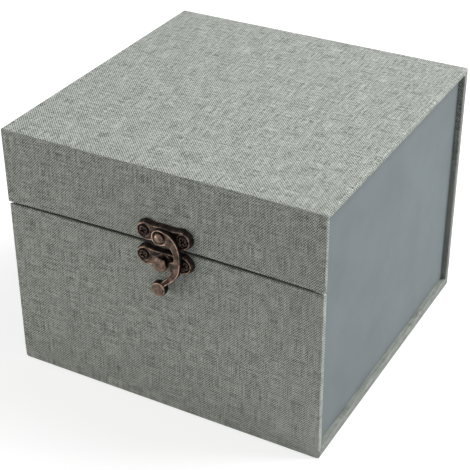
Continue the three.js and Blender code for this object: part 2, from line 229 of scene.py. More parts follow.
def steps(low, high, round_low, round_high, cuts=()):
    """Places along one side of a board: close together over the rounded ends, and at each cut."""
    def over_edge(radius):
        return [radius * (1 - math.tan(math.pi / 4 * k / ROUND_STEPS)) for k in range(ROUND_STEPS, 0, -1)]

    places = [low + x for x in over_edge(round_low)] if round_low else []
    stops = sorted({low + round_low, high - round_high, *[c for c in cuts if low < c < high]})
    for a, b in zip(stops, stops[1:]):
        count = max(1, round((b - a) / GRID))
        places += [a + (b - a) * i / count for i in range(count)]
    places.append(stops[-1])
    if round_high:
        places += [high - x for x in reversed(over_edge(round_high))]
    return places


def along(value, low, high, round_low, round_high):
    """How far along the cloth a place on a board's side is, counted on the rounded surface."""
    if round_low and value < low + round_low:
        return low + round_low - round_low * math.atan((low + round_low - value) / round_low)
    if round_high and value > high - round_high:
        return high - round_high + round_high * math.atan((value - high + round_high) / round_high)
    return value


def covered_board(name, low, high, axis, side, end_low, end_high):
    """A board's cloth. The board's outer face looks along axis, to one side. The ends' rounding is 0 where the cloth
    goes on over a fold."""
    across = 3 - axis  # y for a lying board, z for a standing one
    rounding = {0: (EDGE_ROUND, EDGE_ROUND), axis: (EDGE_ROUND, EDGE_ROUND), across: (end_low, end_high)}
    inner = {k: (low[k] + rounding[k][0], high[k] - rounding[k][1]) for k in range(3)}
    edges = {k: (low[k] + TURN_IN, high[k] - TURN_IN) for k in (0, across)}
    places = {k: steps(low[k], high[k], *rounding[k], edges.get(k, ())) for k in range(3)}
    reach = {k: lambda value, k=k: along(value, low[k], high[k], *rounding[k]) for k in range(3)}
    outer, inside = (high[axis], low[axis]) if side > 0 else (low[axis], high[axis])

    def rounded(point):
        core = [min(max(point[k], inner[k][0]), inner[k][1]) for k in range(3)]
        radius = [rounding[k][point[k] > core[k]] or EDGE_ROUND for k in range(3)]
        out = Vector([(point[k] - core[k]) / radius[k] for k in range(3)])
        if out.length < TINY:
            return Vector(point)
        out.normalize()
        return Vector([core[k] + out[k] * radius[k] for k in range(3)])

    def cloth_place(point, face, end):
        depth = abs(reach[axis](outer) - reach[axis](point[axis]))
        u, v = reach[0](point[0]), reach[across](point[across])
        if face == 0:
            u += end * depth
        elif face == across:
            v += end * depth
        return u, CLOTH_RUN[name](v)

    vertices, faces, uvs = [], [], []
    for face in range(3):
        one, other = [k for k in range(3) if k != face]
        for end, at in ((-1, low[face]), (1, high[face])):
            for a0, a1 in zip(places[one], places[one][1:]):
                for b0, b1 in zip(places[other], places[other][1:]):
                    middle = {one: (a0 + a1) / 2, other: (b0 + b1) / 2}
                    in_window = all(edges[k][0] < middle.get(k, 0) < edges[k][1] for k in (0, across) if k in middle)
                    if face == axis and at == inside and in_window:
                        continue  # the board's inner face is bare there
                    corner = []
                    for a, b in ((a0, b0), (a1, b0), (a1, b1), (a0, b1)):
                        point = [0, 0, 0]
                        point[face], point[one], point[other] = at, a, b
                        corner.append(len(vertices))
                        vertices.append(rounded(point))
                        uvs.append(cloth_place(point, face, end))
                    faces.append(corner)
    obj = tidy(mesh_piece(name + "_wrap", vertices, faces, LINEN, uvs))
    with_modifier(obj, "SOLIDIFY", thickness=CLOTH_THICK, offset=-1, use_even_offset=True)
    return tidy(obj, SHARP)


def board_inside(node, body, move):
    """A board of the frame, bent as its cloth is by move."""
    low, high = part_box(node)
    places = steps(low.x, high.x, 0, 0)
    ring = ((low.y, low.z), (high.y, low.z), (high.y, high.z), (low.y, high.z))
    vertices = [(x, y, z) for x in places for y, z in ring]
    faces = [[4 * i + k, 4 * i + (k + 1) % 4, 4 * i + 4 + (k + 1) % 4, 4 * i + 4 + k]
             for i in range(len(places) - 1) for k in range(4)]
    faces += [[0, 1, 2, 3], [len(vertices) - k for k in (1, 2, 3, 4)]]
    obj = tidy(mesh_piece(node + "_bent", vertices, faces, BOARD), SHARP)
    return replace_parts(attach(ease(obj, move), body), node)


def fold_strip(name, standing, lying, corner, inward, turned, end, left, right):
    """The cloth over a fold between a standing board and a lying one. corner is the fold's outer corner line as
    (y, z), and inward and turned are the signs of y and z from it towards the boards. The strip rounds the corner and
    runs on along z to its end."""
    y, z = corner

    def run(p):
        return CLOTH_RUN[standing](p.z) if abs(p.z - z) >= abs(p.y - y) else CLOTH_RUN[lying](p.y)

    centre = Vector((0, y + inward * EDGE_ROUND, z + turned * EDGE_ROUND))
    arc_steps = 2 * ROUND_STEPS
    profile = []
    for i in range(arc_steps + 1):
        angle = math.pi / 2 * i / arc_steps
        profile.append((centre, Vector((0, -inward * math.sin(angle), -turned * math.cos(angle)))))
    straight = abs(end - centre.z)
    for i in range(1, FOLD_ROWS + 1):
        core = centre + Vector((0, 0, turned * straight * i / FOLD_ROWS))
        profile.append((core, Vector((0, -inward, 0))))
    xs = steps(left, right, EDGE_ROUND, EDGE_ROUND)
    curl = [-math.pi / 2 + math.pi / 2 * i / ROUND_STEPS for i in range(ROUND_STEPS)]
    flat = [x for x in xs if left + EDGE_ROUND <= x <= right - EDGE_ROUND]
    across = [(left + EDGE_ROUND, a) for a in curl] + [(x, 0.0) for x in flat]
    across += [(right - EDGE_ROUND, -a) for a in reversed(curl)]
    vertices, places = [], []
    for core, normal in profile:
        v = run(core + normal * EDGE_ROUND)
        for x, turn in across:
            out = normal * math.cos(turn) + Vector((math.sin(turn), 0, 0))
            vertices.append(core + Vector((x, 0, 0)) + out * EDGE_ROUND)
            places.append((x + turn * EDGE_ROUND, v))
    width = len(across)
    faces = [[i * width + j, (i + 1) * width + j, (i + 1) * width + j + 1, i * width + j + 1]
             for i in range(len(profile) - 1) for j in range(width - 1)]
    obj = mesh_piece(name, vertices, faces, LINEN, [places[k] for face in faces for k in face])
    work = bmesh.new()
    work.from_mesh(obj.data)
    outward = Vector((0, -inward, -turned))
    foremost = max(work.faces, key=lambda face: face.calc_center_median().dot(outward))
    if foremost.normal.dot(outward) < 0:
        bmesh.ops.reverse_faces(work, faces=work.faces)
    work.to_mesh(obj.data)
    work.free()
    with_modifier(obj, "SOLIDIFY", thickness=CLOTH_THICK, offset=-1, use_even_offset=False)
    return tidy(obj, SHARP)


# Materials

class Shader:
    """A material and short ways to add its nodes. A value is a number, a colour or another node's output."""

    def __init__(self, name):
        self.material = bpy.data.materials.new(name)
        self.material.use_nodes = True
        self.tree = self.material.node_tree
        self.surface = self.tree.nodes["Principled BSDF"]

    def node(self, kind, inputs=(), **settings):
        node = self.tree.nodes.new(kind)
        for key, value in settings.items():
            setattr(node, key, value)
        for key, value in dict(inputs).items():
            self.put(node.inputs[key], value)
        return node

    def put(self, socket, value):
        if isinstance(value, bpy.types.NodeSocket):
            self.tree.links.new(value, socket)
        else:
            socket.default_value = value

    def finish(self, values):
        """Sets the surface's values and gives the material."""
        for key, value in values.items():
            self.put(self.surface.inputs[key], value)
        return self.material

    def object_place(self):
        return self.node("ShaderNodeTexCoord").outputs["Object"]

    def apart(self, place):
        return self.node("ShaderNodeSeparateXYZ", {0: place}).outputs

    def vector(self, operation, place, other):
        """other is a vector, or a number for SCALE."""
        socket = 3 if operation == "SCALE" else 1
        return self.node("ShaderNodeVectorMath", {0: place, socket: other}, operation=operation).outputs[0]

    def math(self, operation, *values):
        return self.node("ShaderNodeMath", enumerate(values), operation=operation).outputs[0]

    def times(self, one, other):
        return self.math("MULTIPLY", one, other)

    def mix(self, share, one, other):
        node = self.node("ShaderNodeMix", {"Factor": share}, data_type="RGBA")
        for key, value in (("A", one), ("B", other)):
            socket = [s for s in node.inputs if s.name == key and s.type == "RGBA"][0]
            self.put(socket, value if isinstance(value, bpy.types.NodeSocket) else (*value, 1))
        return [s for s in node.outputs if s.type == "RGBA"][0]

    def spread(self, value, low, high, out_low, out_high):
        """From low to high it goes from out_low to out_high, and it stays there beyond them."""
        return self.node("ShaderNodeMapRange", {"Value": value, "From Min": low, "From Max": high,
                                                "To Min": out_low, "To Max": out_high}).outputs["Result"]

    def tone(self, noise):
        """The middle part of a noise, where most of it lies, spread from 0 to 1."""
        return self.spread(noise, 0.35, 0.65, 0.0, 1.0)

    def noise(self, place, scale, detail=2.0, roughness=0.5):
        return self.node("ShaderNodeTexNoise", {"Vector": place, "Scale": scale, "Detail": detail,
                                                "Roughness": roughness}).outputs["Fac"]

    def bump(self, height, distance, strength):
        return self.node("ShaderNodeBump", {"Height": height, "Distance": distance,
                                            "Strength": strength}).outputs["Normal"]


def linear(colour):
    """A colour given as 0 to 255 on the screen, as the light it stands for."""
    return tuple(x / 12.92 if x <= 0.04045 else ((x + 0.055) / 1.055) ** 2.4 for x in (part / 255 for part in colour))


def painted_light_and_shade(s, uv):
    """How light the cloth is drawn, to match the photograph: painted light makes it lighter at the lower panel's
    foot, painted shade makes it darker round the side edges of the back and the bottom, and it is 1 elsewhere."""
    x, run, _ = s.apart(uv)
    _, y, z = s.apart(s.object_place())
    # painted light, lighter up from the lower panel's foot
    to_foot = s.spread(run, FOOT_RUN - EDGE_ROUND, FOOT_RUN, 1.0, PAINTED_LIGHT_FOOT)
    up_panel = s.spread(run, FOOT_RUN, FOOT_RUN + PAINTED_LIGHT_REACH, PAINTED_LIGHT_FOOT, 1.0)
    # painted shade round the side edges of the back and the bottom, and where the cloth turns in at the ledge
    side = s.spread(s.math("ABSOLUTE", x), RIGHT - EDGE_ROUND, RIGHT, 0.0, PAINTED_SHADE_SIDES)
    ledge = s.times(s.spread(z, BOTTOM_HIGH.z - EDGE_ROUND, BOTTOM_HIGH.z, 0.0, PAINTED_SHADE_LEDGE),
                    s.spread(y, BACK_LOW.y, BACK_LOW.y + EDGE_ROUND, 1.0, 0.0))
    back_and_bottom = s.times(s.spread(run, DEPTH, DEPTH + EDGE_ROUND, 0.0, 1.0),
                              s.spread(run, FOOT_RUN - EDGE_ROUND, FOOT_RUN, 1.0, 0.0))
    painted_shade = s.times(s.math("MAXIMUM", side, ledge), back_and_bottom)
    return s.math("SUBTRACT", s.math("MINIMUM", to_foot, up_panel), painted_shade)


def linen():
    """Plain-woven cloth with darker threads along the wrap and lighter ones across it, drawn on the cloth's own run,
    with painted shade in the gaps between the threads.

    X and Y below count threads: X those that run along the wrap, Y those that run across it.
    """
    s = Shader("linen")
    uv = s.node("ShaderNodeUVMap", uv_map="cloth").outputs["UV"]
    moved = uv
    for scale, reach in WANDER:
        stray = s.node("ShaderNodeTexNoise", {"Vector": uv, "Scale": scale, "Detail": 1.0}).outputs["Color"]
        moved = s.vector("ADD", moved, s.vector("SCALE", s.vector("SUBTRACT", stray, (0.5, 0.5, 0.5)), reach))
    threads = s.vector("MULTIPLY", moved, (1 / THREAD_PITCH[0], 1 / THREAD_PITCH[1], 1.0))
    x, y, _ = s.apart(threads)
    wave_x, wave_y = (s.math("SINE", s.times(number, math.pi)) for number in (x, y))

    def streaks(number, place, seed):
        """Light and dark streaks about a thread wide, which run along it."""
        parts = []
        for pace, much in STREAKS:
            layer = seed + 50 * pace  # keeps the noises apart
            spot = s.node("ShaderNodeCombineXYZ", {0: s.times(number, STREAK_WIDTH), 1: s.times(place, pace),
                                                   2: layer}).outputs[0]
            parts.append(s.times(s.math("SUBTRACT", s.noise(spot, 1.0, 0.0), 0.5), much))
        return s.math("ADD", *parts)

    tone = s.spread(s.times(wave_x, wave_y), -WEAVE_SOFT, WEAVE_SOFT, LIGHT_THREAD, DARK_THREAD)
    tone = s.math("ADD", tone, s.math("ADD", streaks(x, y, 1.0), streaks(y, x, 9.0)))
    tone = s.math("ADD", tone, s.times(s.math("SUBTRACT", s.noise(threads, FLECKS_PER_THREAD, 0.0), 0.5), FLECKS))
    crown = s.times(*(s.math("POWER", s.math("ABSOLUTE", wave), 2.0) for wave in (wave_x, wave_y)))
    colour = s.mix(tone, linear(CLOTH_DARK), linear(CLOTH_LIGHT))
    # painted shade in the gaps between the threads
    colour = s.mix(s.spread(crown, 0.0, GAP_HEIGHT, GAP_TONE, 1.0), linear(CLOTH_GAP_SHADE), colour)
    # the woven colour is scaled by the painted light and painted shade
    return s.finish({"Base Color": s.vector("SCALE", colour, painted_light_and_shade(s, uv)), "Roughness": CLOTH_ROUGH,
                     "Specular IOR Level": 0.2, "Sheen Weight": 0.06, "Sheen Roughness": 0.5,
                     "Normal": s.bump(crown, CLOTH_BUMP, 0.5)})


def paper():
    """Smooth uncoated cover paper with faint fibres."""
    s = Shader("paper")
    place = s.object_place()
    fine = s.noise(place, PAPER_FIBRE, 3.0)
    cloud = s.noise(place, PAPER_CLOUD, 3.0)
    tone = s.math("ADD", s.times(fine, 0.3), s.times(cloud, 0.7))
    darker, lighter = (tuple(x * much for x in linear(PAPER_TONE)) for much in (0.93, 1.07))
    return s.finish({"Base Color": s.mix(s.tone(tone), darker, lighter),
                     "Roughness": s.spread(fine, 0.3, 0.7, *PAPER_ROUGH), "Specular IOR Level": 0.35,
                     "Normal": s.bump(fine, PAPER_BUMP, 0.5)})


def greyboard():
    """Pulpy brown-grey board with flecks."""
    s = Shader("greyboard")
    fleck = s.noise(s.object_place(), BOARD_FLECK, 4.0, 0.7)
    return s.finish({"Base Color": s.mix(s.tone(fleck), linear(BOARD_DARK), linear(BOARD_LIGHT)),
                     "Roughness": BOARD_ROUGH, "Normal": s.bump(fleck, BOARD_BUMP, 0.6)})


def plush(name="plush", ring=None):
    """Short-piled off-white cloth over the foam. ring, a radius about the box's middle, is sewn round with a seam,
    whose groove is drawn darker with painted shade.
    """
    s = Shader(name)
    place = s.object_place()
    pile = s.noise(place, PILE_FINE, 4.0, 0.65)
    nap = s.noise(place, PILE_NAP, 2.0)
    tone = s.math("ADD", s.times(pile, 0.6), s.times(nap, 0.4))
    colour = s.mix(s.tone(tone), linear(PILE_DARK), linear(PILE_LIGHT))
    height = s.times(pile, 0.12)
    if ring is not None:
        x, y, _ = s.apart(place)
        y = s.math("SUBTRACT", y, (FRONT + BACK) / 2)
        radius = s.math("SQRT", s.math("ADD", s.times(x, x), s.times(y, y)))
        beside = s.math("ABSOLUTE", s.math("SUBTRACT", radius, ring))
        stitch = s.math("SINE", s.times(s.math("ARCTAN2", y, x), SEAM_STITCHES))
        groove = s.times(s.spread(beside, SEAM_FLOOR, SEAM_WIDTH, 1.0, 0.0), s.spread(stitch, -0.3, 0.3, 0.6, 1.0))
        # painted shade in the seam's groove
        colour = s.mix(s.times(groove, 0.6), colour, linear(PILE_SEAM_SHADE))
        height = s.math("SUBTRACT", height, groove)
    return s.finish({"Base Color": colour, "Roughness": PILE_ROUGH, "Specular IOR Level": 0.2, "Sheen Weight": 0.35,
                     "Normal": s.bump(height, PILE_BUMP, 0.7)})


def old_copper():
    """Cast metal with a dark brown finish, rubbed to copper on its faces and edges and nearly black in its hollows.
    The rubbed copper is partly painted light: it is drawn on faces towards the front, and the sides that face away
    get painted shade. The bright edges are wear with a painted highlight where they face the front, and the black in
    the hollows is patina with painted shade.

    The mesh says of each corner how much of an edge it is (convexity), how far it stands out (relief), how much it
    faces the front (forward), and how light its piece is drawn, from wear and painted shade (wear_and_shade).
    """
    s = Shader("old_copper")
    place = s.object_place()
    convexity, relief, forward, wear_and_shade = (s.node("ShaderNodeAttribute", attribute_name=key).outputs["Fac"]
                                      for key in ("convexity", "relief", "forward", "wear_and_shade"))
    cloud = s.noise(place, METAL_CLOUD, 4.0, 0.6)
    grain = s.noise(place, METAL_GRAIN, 3.0, 0.6)
    rubbed_and_lit = s.math("ADD", s.times(s.spread(relief, -0.05, 0.35, 0.8, 1.4), wear_and_shade),
                    s.times(s.math("SUBTRACT", cloud, 0.5), 2.0))
    at_sides = s.spread(wear_and_shade, 0.2, 0.3, 0.35, 0.0)  # painted shade on the sides that face away from the front: only the darker pieces keep some rubbed tone there
    rubbed_and_lit = s.times(rubbed_and_lit, s.spread(forward, 0.3, 0.9, at_sides, 1.0))
    # worn edges, with a painted highlight on the edges that face the front
    edge_wear_and_highlight = s.times(s.spread(convexity, 0.035, 0.1, 0.0, 0.7), s.spread(forward, 0.2, 0.7, 0.1, 1.0))
    edge_wear_and_highlight = s.times(edge_wear_and_highlight, s.spread(wear_and_shade, -0.16, 0.16, 0.25, 1.0))
    edge_wear_and_highlight = s.times(edge_wear_and_highlight, s.spread(cloud, 0.4, 0.6, 0.4, 1.0))
    # patina in the hollows and concave corners, with painted shade there
    patina_and_shade = s.math("MAXIMUM", s.spread(relief, 0.05, -0.25, 0.0, 1.0), s.spread(convexity, -0.02, -0.07, 0.0, 1.0))
    colour = s.mix(rubbed_and_lit, linear(METAL_DARK), linear(METAL_RUBBED_LIT))
    colour = s.mix(edge_wear_and_highlight, colour, linear(METAL_EDGE_WORN_LIT))
    colour = s.mix(s.times(patina_and_shade, 0.95), colour, linear(METAL_HOLLOW_PATINA_SHADE))
    return s.finish({"Base Color": colour, "Metallic": 0.85, "Roughness": s.spread(rubbed_and_lit, 0.0, 0.8, *METAL_ROUGH),
                     "Normal": s.bump(s.math("ADD", grain, s.times(cloud, 1.5)), METAL_BUMP, 0.6)})


LINEN = linen()
PAPER = paper()
BOARD = greyboard()
PLUSH = plush()
NEST_PLUSH = plush("nest_plush", NEST_SEAM)
COPPER = old_copper()


# The wrap

def build_wrap():
    flush = EDGE_ROUND  # where a fold's rounding starts, from the fold's corner
    lid = covered_board("lid", (LEFT, FRONT + flush, LID_LOW.z), (RIGHT, BACK - flush, TOP), 2, 1, 0, 0)
    flap = covered_board("flap", FLAP_LOW, FLAP_HIGH, 1, -1, SPLIT_ROUND, 0)
    front = covered_board("front", FRONT_LOW, FRONT_HIGH, 1, -1, 0, SPLIT_ROUND)
    back = covered_board("back", BACK_LOW, BACK_HIGH, 1, 1, 0, 0)
    bottom = covered_board("bottom", (BOTTOM_LOW.x, FRONT + flush, 0), (BOTTOM_HIGH.x, BACK - flush, BOTTOM_HIGH.z),
                           2, -1, 0, 0)
    edge, top, foot = FLAP_LOW.z, FLAP_HIGH.z, FRONT_LOW.z

    def split_move(p, side):
        """How far the split's edge moves up, over it at side 1 and under it at side -1."""
        outward = (p.x / RIGHT) ** 2
        apart = SPLIT_OPEN[1] + (SPLIT_OPEN[0] - SPLIT_OPEN[1]) * outward
        return BOW_RAISED - EDGE_BOW * outward + side * apart

    def bevel(p):
        """The lower panel's upper edge falls away towards the tray."""
        inward = min(max((p.y - FRONT - EDGE_ROUND) / (FRONT_HIGH.y - FRONT - EDGE_ROUND), 0), 1)
        return -SPLIT_BEVEL * inward if p.z > FRONT_HIGH.z - MM else 0

    def flap_move(p):
        return Vector((0, 0, split_move(p, 1) * (top - p.z) / (top - edge)))

    def front_move(p):
        return Vector((-PANEL_LEAN * max(0, p.x / LEFT) * (edge - p.z) / (edge - foot), 0,
                       split_move(p, -1) * (p.z - foot) / (edge - foot) + bevel(p)))

    ease(flap, flap_move)
    ease(front, front_move)
    board_inside("flap_board", "flap", flap_move)
    board_inside("front_board", "base", front_move)
    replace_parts(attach(lid, "lid"), "lid_cloth")
    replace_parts(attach(flap, "flap"), "flap_cloth")
    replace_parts(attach(front, "base"), "front_cloth")
    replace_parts(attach(back, "base"), "back_cloth")
    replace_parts(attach(bottom, "base"), "bottom_cloth")

    flap_fold = fold_strip("flap_fold", "flap", "lid", (FRONT, TOP), 1, -1, FLAP_HIGH.z, LEFT, RIGHT)
    lid_fold = fold_strip("lid_fold", "back", "lid", (BACK, TOP), -1, -1, BACK_HIGH.z, LEFT, RIGHT)
    back_foot = fold_strip("back_foot_fold", "back", "bottom", (BACK, 0.0), -1, 1, BACK_LOW.z, BACK_LOW.x,
                           BACK_HIGH.x)
    front_foot = fold_strip("front_foot_fold", "front", "bottom", (FRONT, 0.0), 1, 1, FRONT_LOW.z, FRONT_LOW.x,
                            FRONT_HIGH.x)
    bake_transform(flap_fold)
    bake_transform(lid_fold)
    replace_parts(flap_fold, "flap_hinge_cloth")
    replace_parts(lid_fold, "lid_hinge_cloth")
    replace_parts(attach(back_foot, "base"), "back_foot_cloth")
    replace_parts(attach(front_foot, "base"), "front_foot_cloth")


# Cast metal. A shape is worked out as a distance, negative inside, from places in mm as the clasp is seen from the
# front: x across, y up and z out of the box, all arrays that spread over one grid. soft_max keeps what two shapes
# share and soft_min joins them. Their last number is how far the edge between the two is rounded.

def soft_max(a, b, blend):
    share = np.clip(0.5 + 0.5 * (a - b) / blend, 0, 1)
    return b + (a - b) * share + blend * share * (1 - share)


def soft_min(a, b, blend):
    return -soft_max(-a, -b, blend)


def disc(x, y, radius, at=(0, 0)):
    return np.hypot(x - at[0], y - at[1]) - radius


def bar(x, y, half_width, half_height):
    return np.maximum(np.abs(x) - half_width, np.abs(y) - half_height)


def polygon(x, y, corners):
    """Distance to a convex outline whose corners run round it clockwise."""
    far = -np.inf
    for (x0, y0), (x1, y1) in zip(corners, corners[1:] + corners[:1]):
        length = math.hypot(x1 - x0, y1 - y0)
        far = np.maximum(far, (-(x - x0) * (y1 - y0) + (y - y0) * (x1 - x0)) / length)
    return far


def slope(value, start, end):
    """0 up to start, 1 from end, and smooth between them."""
    share = np.clip((value - start) / (end - start), 0, 1)
    return share * share * (3 - 2 * share)


def skin_of(shape, low, high, step):
    """Corners and four-sided faces of the surface where a shape's distance is nought."""
    axes = [np.arange(a - 2 * step, b + 3 * step, step) for a, b in zip(low, high)]
    value = np.broadcast_to(shape(*np.meshgrid(*axes, indexing="ij", sparse=True)), [len(a) for a in axes])
    cells = [len(a) - 1 for a in axes]
    total, hits = np.zeros((*cells, 3)), np.zeros(cells)
    crossings = []
    for axis in range(3):
        start, stop = [slice(None)] * 3, [slice(None)] * 3
        start[axis], stop[axis] = slice(None, -1), slice(1, None)
        a, b = value[tuple(start)], value[tuple(stop)]
        where = np.argwhere((a < 0) != (b < 0))
        here, there = a[tuple(where.T)], b[tuple(where.T)]
        point = where.astype(float)
        point[:, axis] += here / (here - there)
        one, other = (axis + 1) % 3, (axis + 2) % 3
        ring = []
        for back_one, back_other in ((0, 0), (1, 0), (1, 1), (0, 1)):
            cell = where.copy()
            cell[:, one] -= back_one
            cell[:, other] -= back_other
            np.add.at(total, tuple(cell.T), point)
            np.add.at(hits, tuple(cell.T), 1)
            ring.append(cell)
        crossings.append((ring, here < 0))
    used = np.argwhere(hits > 0)
    number = np.zeros(cells, int)
    number[tuple(used.T)] = np.arange(len(used))
    vertices = total[tuple(used.T)] / hits[tuple(used.T)][:, None] * step + [a[0] for a in axes]
    faces = []
    for ring, outward in crossings:
        quads = np.stack([number[tuple(cell.T)] for cell in ring], axis=1)
        faces.append(np.where(outward[:, None], quads, quads[:, ::-1]))
    return vertices, np.concatenate(faces)


def convexity_and_relief(vertices, faces, normals):
    """How far each corner stands out from its neighbours, evened out a little, and from the evened-out piece."""
    ends = np.concatenate([faces[:, [k, (k + 1) % 4]] for k in range(4)])
    ends = np.concatenate([ends, ends[:, ::-1]])
    count = np.bincount(ends[:, 0], minlength=len(vertices))

    def around(value):
        return np.stack([np.bincount(ends[:, 0], value[ends[:, 1], k], len(vertices)) / count
                         for k in range(value.shape[1])], axis=1)

    convexity = np.sum((vertices - around(vertices)) * normals, axis=1, keepdims=True)
    for _ in range(CONVEXITY_SPREAD):
        convexity = 0.5 * convexity + 0.5 * around(convexity)
    even = vertices
    for _ in range(RELIEF_SPREAD):
        even = around(even)
    return convexity[:, 0], np.sum((vertices - even) * normals, axis=1)


def cast(name, shape, bounds, place, body, node, wear_and_shade, step=CAST_STEP):
    """A cast piece that replaces a node of the frame. Its drawing's origin lies at a place on the front."""
    vertices, faces = skin_of(shape, *bounds, step)
    across, up, out = vertices.T
    points = np.stack([place[0] + across * MM, FRONT - out * MM, place[1] + up * MM], axis=1)
    obj = mesh_piece(name, points.tolist(), faces.tolist(), COPPER)
    normals = np.zeros(3 * len(points), np.float32)
    obj.data.vertex_normals.foreach_get("vector", normals)
    normals = normals.reshape(-1, 3)
    convexity, relief = convexity_and_relief(points, faces, normals)
    # how much of an edge each corner is, how far it stands out and how it faces feed the worn edges, patina, painted
    # highlights and painted shade of the finish
    for key, value in (("convexity", convexity / (step * MM)), ("relief", relief / MM), ("forward", -normals[:, 1]),
                       ("wear_and_shade", np.full(len(convexity), wear_and_shade))):
        layer = obj.data.attributes.new(key, "FLOAT", "POINT")
        layer.data.foreach_set("value", value.astype(np.float32))
    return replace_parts(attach(obj, body), node)


# Sizes of the clasp in mm
PLATE_FOOT = 0.2
PLATE_FIELD = 2.5
PLATE_DRAFT = 0.25  # how much its sides lean
PLATE_ROUND = 0.5
PLATE_ROOM = (0.4, 1.1, 0.7)  # from its round ends to its drawing's bounds, beside, under and over them
RIM_RISE = 0.45
RIM_WIDTH = 0.95
END_RADIUS = 4.25
WAIST_HALF, WAIST_BLEND = 3.95, 1.6
BOSS_RADIUS, BOSS_BLEND = 4.3, 0.9
BOSS_FACE = 3.1
DISH_RADIUS = 2.85
DISH_FLOOR = 1.85
DISH_ROUND = 0.3
PLATES = (  # node, body, end's middle, how much further out the screws are, boss's face, place from the solid's, turn
    ("hook_plate", "flap", 9.15, 0, BOSS_FACE, (0.45, 0.35), math.radians(-0.7)),
    ("stud_plate", "base", 9.45, 0.1, PLATE_FIELD + 0.4, (-0.05, 0.78), 0),
)
SCREW_RADIUS = 2.3
SCREW_TOP = 3.15
SCREW_CROWN = 0.1
SCREW_ROUND = 0.55
SLOT_HALF = (1.7, 0.52)
SLOT_DEPTH = 1.1
SLOT_ROUND = 0.18
SCREWS = (("left", -1, math.radians(25)), ("right", 1, math.radians(48)))  # side, its sign, its slot's direction
STUD_DOWN = -12.7  # the stud from the rivet
HOOK_BACK, HOOK_FACE = 3.3, 5.4
HOOK_ROUND = 0.75
HOOK_RIDGE = 0.42  # how high the ridge along its outer side stands
HOOK_ARM = (  # places and half widths along its arm, from the rivet
    (0, 0.2, 3.7), (2.9, 0.35, 3.4), (6.2, -1.6, 2.45), (8.0, -5.2, 1.9), (8.3, STUD_DOWN + 4.4, 1.75),
    (8.0, STUD_DOWN + 1.4, 1.95), (7.3, STUD_DOWN - 1.9, 2.1), (6.3, STUD_DOWN - 3.9, 2.05),
    (5.5, STUD_DOWN - 5.3, 1.9), (4.1, STUD_DOWN - 7.1, 1.65), (2.4, STUD_DOWN - 8.8, 1.45),
    (0.9, STUD_DOWN - 10.3, 1.35), (-0.9, STUD_DOWN - 12.2, 1.3),
)
HOOK_TOOTH = ((3.4, -11.8), (4.6, -10.9), (7.6, -9.6), (8.0, -15.6), (3.5, -15.0), (3.1, -13.1))
EYE_RADIUS = 4.15
EYE_DISH = 3.1
EYE_SHIFT = (0, 0.3)  # the eye's middle from the rivet's shank
EYE_DISH_DEPTH = 0.55
KNOB_RADIUS = 3.6
KNOB_AT = (-1.2, -25.8)
KNOB_BACK, KNOB_FACE = 2.5, 6.0
BORE_RADIUS = 1.45
RIVET_RADIUS, RIVET_TOP = 2.5, 6.6
RIVET_MIDDLE = 1.9  # how far under its top the round head's middle lies
RIVET_FLATTEN = 1.35
RIVET_CLEAR = 0.35  # between the head and the floor of the eye's dish
RIVET_PLAY = 0.15  # between the shank and its bore
RIVET_SHIFT = (-0.15, 0.3)  # the head's middle from the shank's
STUD_REACH = 3.45  # from the head's middle to its flats
STUD_FOOT, STUD_TOP = 5.6, 7.0
STUD_SHIFT = (-0.1, 0.5)  # the head's middle from its node's
STUD_CORNERS = 1.12  # where its corners are cut off, times its reach
STUD_CROWN = 0.05
STUD_POST = 2.1
STUD_TURN = math.radians(15)  # a flat's direction

# The drawings' bounds in x and y
HOOK_BOUNDS = (-5.4, -30), (11, 4.5)
RIVET_BOUNDS = (-2.7, -2.7), (2.7, 2.9)
STUD_BOUNDS = (-4.6, -4.3), (4.3, 4.8)

# How light each piece is drawn, from rubbed wear and from painted shade: below 0, as for the screws deep in their
# dishes, it is darker than the bare finish with painted shade
PLATE_WEAR_SHADE, SCREW_WEAR_SHADE, HOOK_WEAR_SHADE, RIVET_WEAR_SHADE, STUD_WEAR_SHADE = 0.19, -0.11, 0.37, 0.56, 0.36


def turned(x, y, angle):
    """A place's x and y on a drawing that is turned by an angle, anticlockwise."""
    c, s = math.cos(angle), math.sin(angle)
    return c * x + s * y, c * y - s * x


def plate_shape(end_at, screw_at, boss_face, boss_at, turn):
    def shape(x, y, z):
        x, y = turned(x, y, turn)
        ends = disc(np.abs(x), y, END_RADIUS, (end_at, 0))
        outline = soft_min(ends, bar(x, y, end_at, WAIST_HALF), WAIST_BLEND)
        outline = soft_min(outline, disc(x, y, BOSS_RADIUS, boss_at), BOSS_BLEND)
        rim = slope(-outline, -0.1, 0.25) * (1 - slope(-outline, RIM_WIDTH - 0.35, RIM_WIDTH + 0.1))
        boss = slope(-disc(x, y, BOSS_RADIUS - 0.45, boss_at), -0.25, 0.35)
        top = PLATE_FIELD + np.maximum(RIM_RISE * rim, (boss_face - PLATE_FIELD) * boss)
        body = soft_max(outline + PLATE_DRAFT * (z - PLATE_FIELD), z - top, PLATE_ROUND)
        body = soft_max(body, PLATE_FOOT - z, 0.15)
        dish = soft_max(disc(np.abs(x), y, DISH_RADIUS, (screw_at, 0)), DISH_FLOOR - z, DISH_ROUND)
        return soft_max(body, -dish, DISH_ROUND)

    return shape


